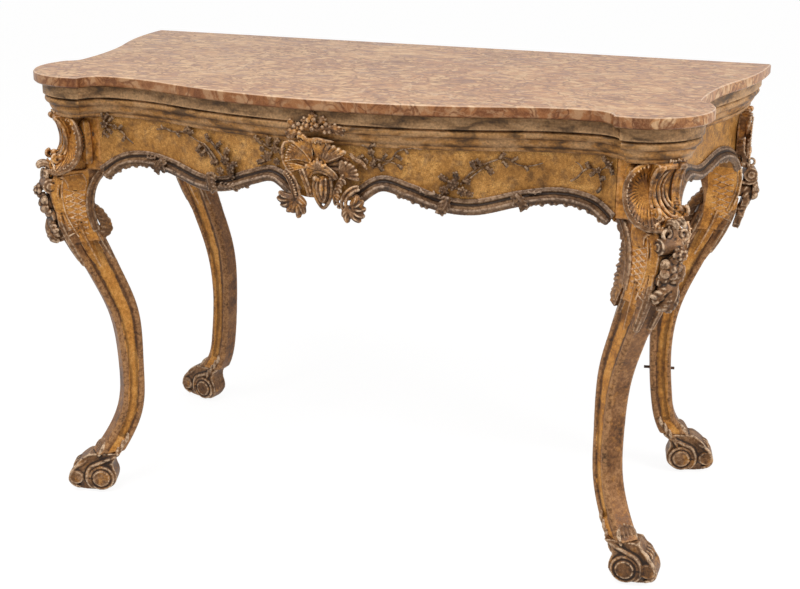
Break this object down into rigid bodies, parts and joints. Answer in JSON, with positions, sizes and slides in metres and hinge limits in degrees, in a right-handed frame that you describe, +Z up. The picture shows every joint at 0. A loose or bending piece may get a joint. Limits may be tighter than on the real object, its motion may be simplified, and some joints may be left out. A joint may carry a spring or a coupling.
{
  "type": "console_table",
  "caption": "Rococo pier table: carved and gilt wood frame on cabriole legs with scroll feet, serpentine rails, shell cartouche and a loose shaped marble slab",
  "frame": {"origin": "on the floor, below the centre of the slab", "axes": "X along the table, +Y to the wall behind it, +Z up"},
  "size_m": [1.3744, 0.692, 0.88],
  "materials": {
    "marble": "polished pink-beige veined marble",
    "gilt_wood": "old gilding over red bole, crackled and rubbed",
    "worn_gilt_moulding": "rubbed gilding with dark grey-brown patina",
    "carved_patina": "carving with worn gilding and brown patina in its recesses",
    "raw_wood": "unfinished oxidised softwood",
    "iron": "old dark iron"
  },
  "bodies": {
    "frame": {"back_rail": "raw_wood", "cabochon": "carved_patina", "corner_glue_blocks": "raw_wood", "corner_sprays": "carved_patina", "foot_dowels": "raw_wood", "front_cornice": "worn_gilt_moulding", "front_rail": "gilt_wood", "left_back_bracket": "carved_patina", "left_back_foot": "carved_patina", "left_back_knee_carving": "carved_patina", "left_back_leg": "gilt_wood", "left_back_leg_comb": "carved_patina", "left_back_wing": "carved_patina", "left_bearer": "raw_wood", "left_corner_block": "raw_wood", "left_corner_cornice": "worn_gilt_moulding", "left_end_wing": "carved_patina", "left_flower_cluster": "carved_patina", "left_front_bracket": "carved_patina", "left_front_foot": "carved_patina", "left_front_knee_carving": "carved_patina", "left_front_leg": "gilt_wood", "left_front_leg_comb": "carved_patina", "left_front_moulding": "carved_patina", "left_front_wing": "carved_patina", "left_rose_spray": "carved_patina", "left_side_cornice": "worn_gilt_moulding", "left_side_moulding": "carved_patina", "left_side_rail": "gilt_wood", "moulding_knots": "carved_patina", "pendant_scrolls": "carved_patina", "repair_pin": "iron", "right_back_bracket": "carved_patina", "right_back_foot": "carved_patina", "right_back_knee_carving": "carved_patina", "right_back_leg": "gilt_wood", "right_back_leg_comb": "carved_patina", "right_back_wing": "carved_patina", "right_bearer": "raw_wood", "right_corner_block": "raw_wood", "right_corner_cornice": "worn_gilt_moulding", "right_end_wing": "carved_patina", "right_front_bracket": "carved_patina", "right_front_foot": "carved_patina", "right_front_knee_carving": "carved_patina", "right_front_leg": "gilt_wood", "right_front_leg_comb": "carved_patina", "right_front_moulding": "carved_patina", "right_front_wing": "carved_patina", "right_rose_spray": "carved_patina", "right_side_cornice": "worn_gilt_moulding", "right_side_moulding": "carved_patina", "right_side_rail": "gilt_wood", "right_vine": "carved_patina", "shell_cartouche": "carved_patina", "shell_crest": "carved_patina", "slab_shims": "raw_wood", "tenon_pegs": "raw_wood"},
    "top": {"marble_top": "marble"}
  },
  "joints": [
    {"name": "top_lift", "type": "slide", "parent": "frame", "child": "top", "axis": [0, 0, 1], "range_m": [0, 0.08]}
  ]
}
